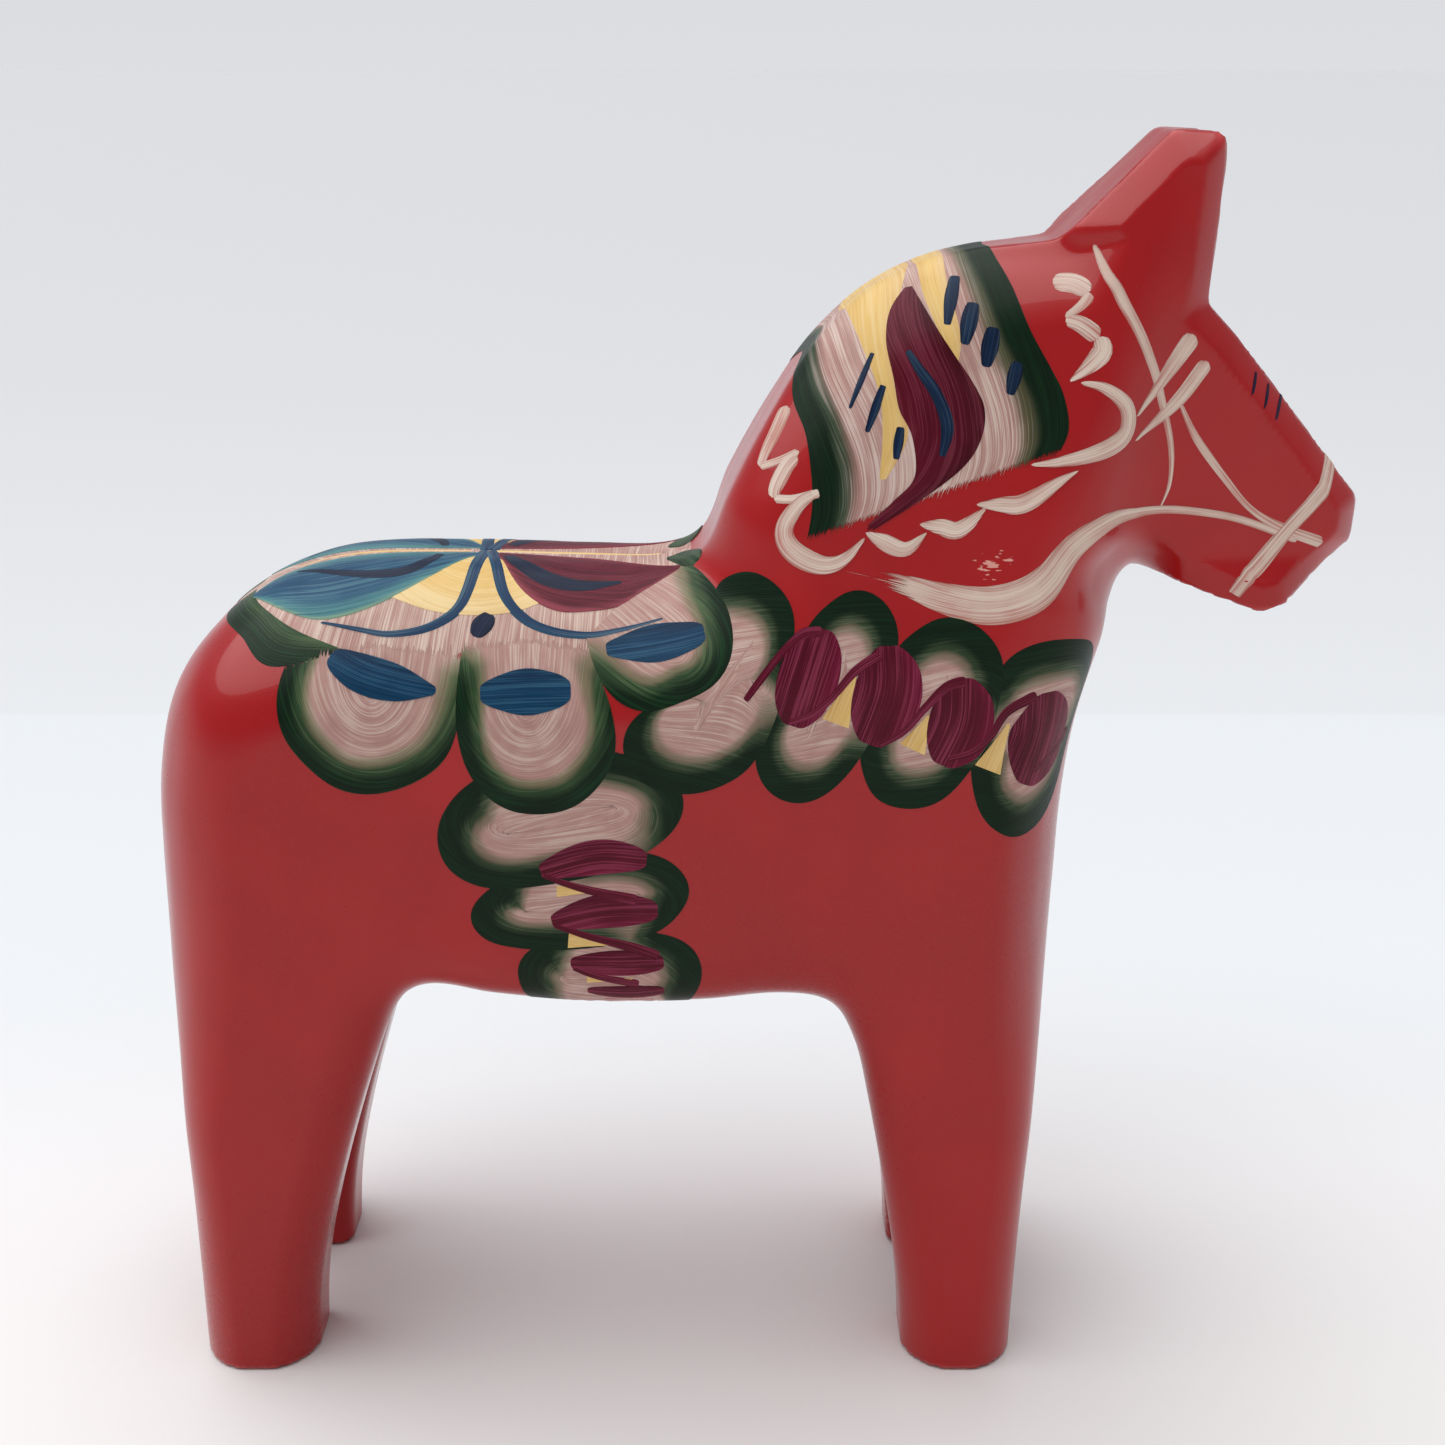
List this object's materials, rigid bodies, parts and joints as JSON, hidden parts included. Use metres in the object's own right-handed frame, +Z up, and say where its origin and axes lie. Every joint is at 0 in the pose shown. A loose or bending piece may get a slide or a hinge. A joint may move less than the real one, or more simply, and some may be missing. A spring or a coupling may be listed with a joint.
{
  "type": "dala horse",
  "caption": "Carved wooden horse on four tapered legs, with arched neck, notched ears, glossy coat and brush-painted harness.",
  "frame": {"origin": "under the middle of the horse, on the surface that it stands on", "axes": "+X the way the horse faces, +Y its left side, +Z up"},
  "size_m": [0.239, 0.0754, 0.2505],
  "materials": {
    "pine": "bare pine",
    "red_lacquer": "glossy oil paint under clear lacquer",
    "green_stroke": "brushed oil paint, dark green blended into pink, lacquered",
    "pink_paint": "brushed oil paint, lacquered",
    "yellow_paint": "brushed oil paint, lacquered",
    "teal_paint": "brushed oil paint, lacquered",
    "crimson_paint": "brushed oil paint, lacquered",
    "blue_paint": "brushed oil paint, lacquered",
    "navy_paint": "brushed oil paint, lacquered",
    "cream_paint": "brushed oil paint, lacquered"
  },
  "bodies": {
    "root": {"carved_body": "pine", "red_coat": "red_lacquer", "saddle_ground": "pink_paint", "saddle_fan": "yellow_paint", "saddle_petal_rear": "teal_paint", "saddle_petal_front": "crimson_paint", "saddle_petal_hearts": "navy_paint", "saddle_lines": "blue_paint", "saddle_lobe_rear": "green_stroke", "saddle_lobe_middle": "green_stroke", "saddle_lobe_front": "green_stroke", "saddle_dabs": "blue_paint", "withers_patch": "green_stroke", "collar_loop_1": "green_stroke", "collar_loop_2": "green_stroke", "collar_loop_3": "green_stroke", "collar_loop_4": "green_stroke", "collar_scroll": "crimson_paint", "collar_wedges": "yellow_paint", "girth_loop_top": "green_stroke", "girth_loop_middle": "green_stroke", "girth_loop_bottom": "green_stroke", "girth_scroll": "crimson_paint", "girth_wedges": "yellow_paint", "mane_band": "green_stroke", "mane_stripes": "yellow_paint", "mane_drop": "crimson_paint", "mane_drop_heart": "navy_paint", "mane_dabs": "navy_paint", "mane_zigzag": "cream_paint", "mane_leaves": "cream_paint", "forelock_scroll": "cream_paint", "forelock_curl": "cream_paint", "poll_strand": "cream_paint", "brow_dabs": "cream_paint", "cheek_strap": "cream_paint", "throat_feather": "cream_paint", "noseband": "cream_paint", "nose_marks": "navy_paint"}
  },
  "joints": []
}
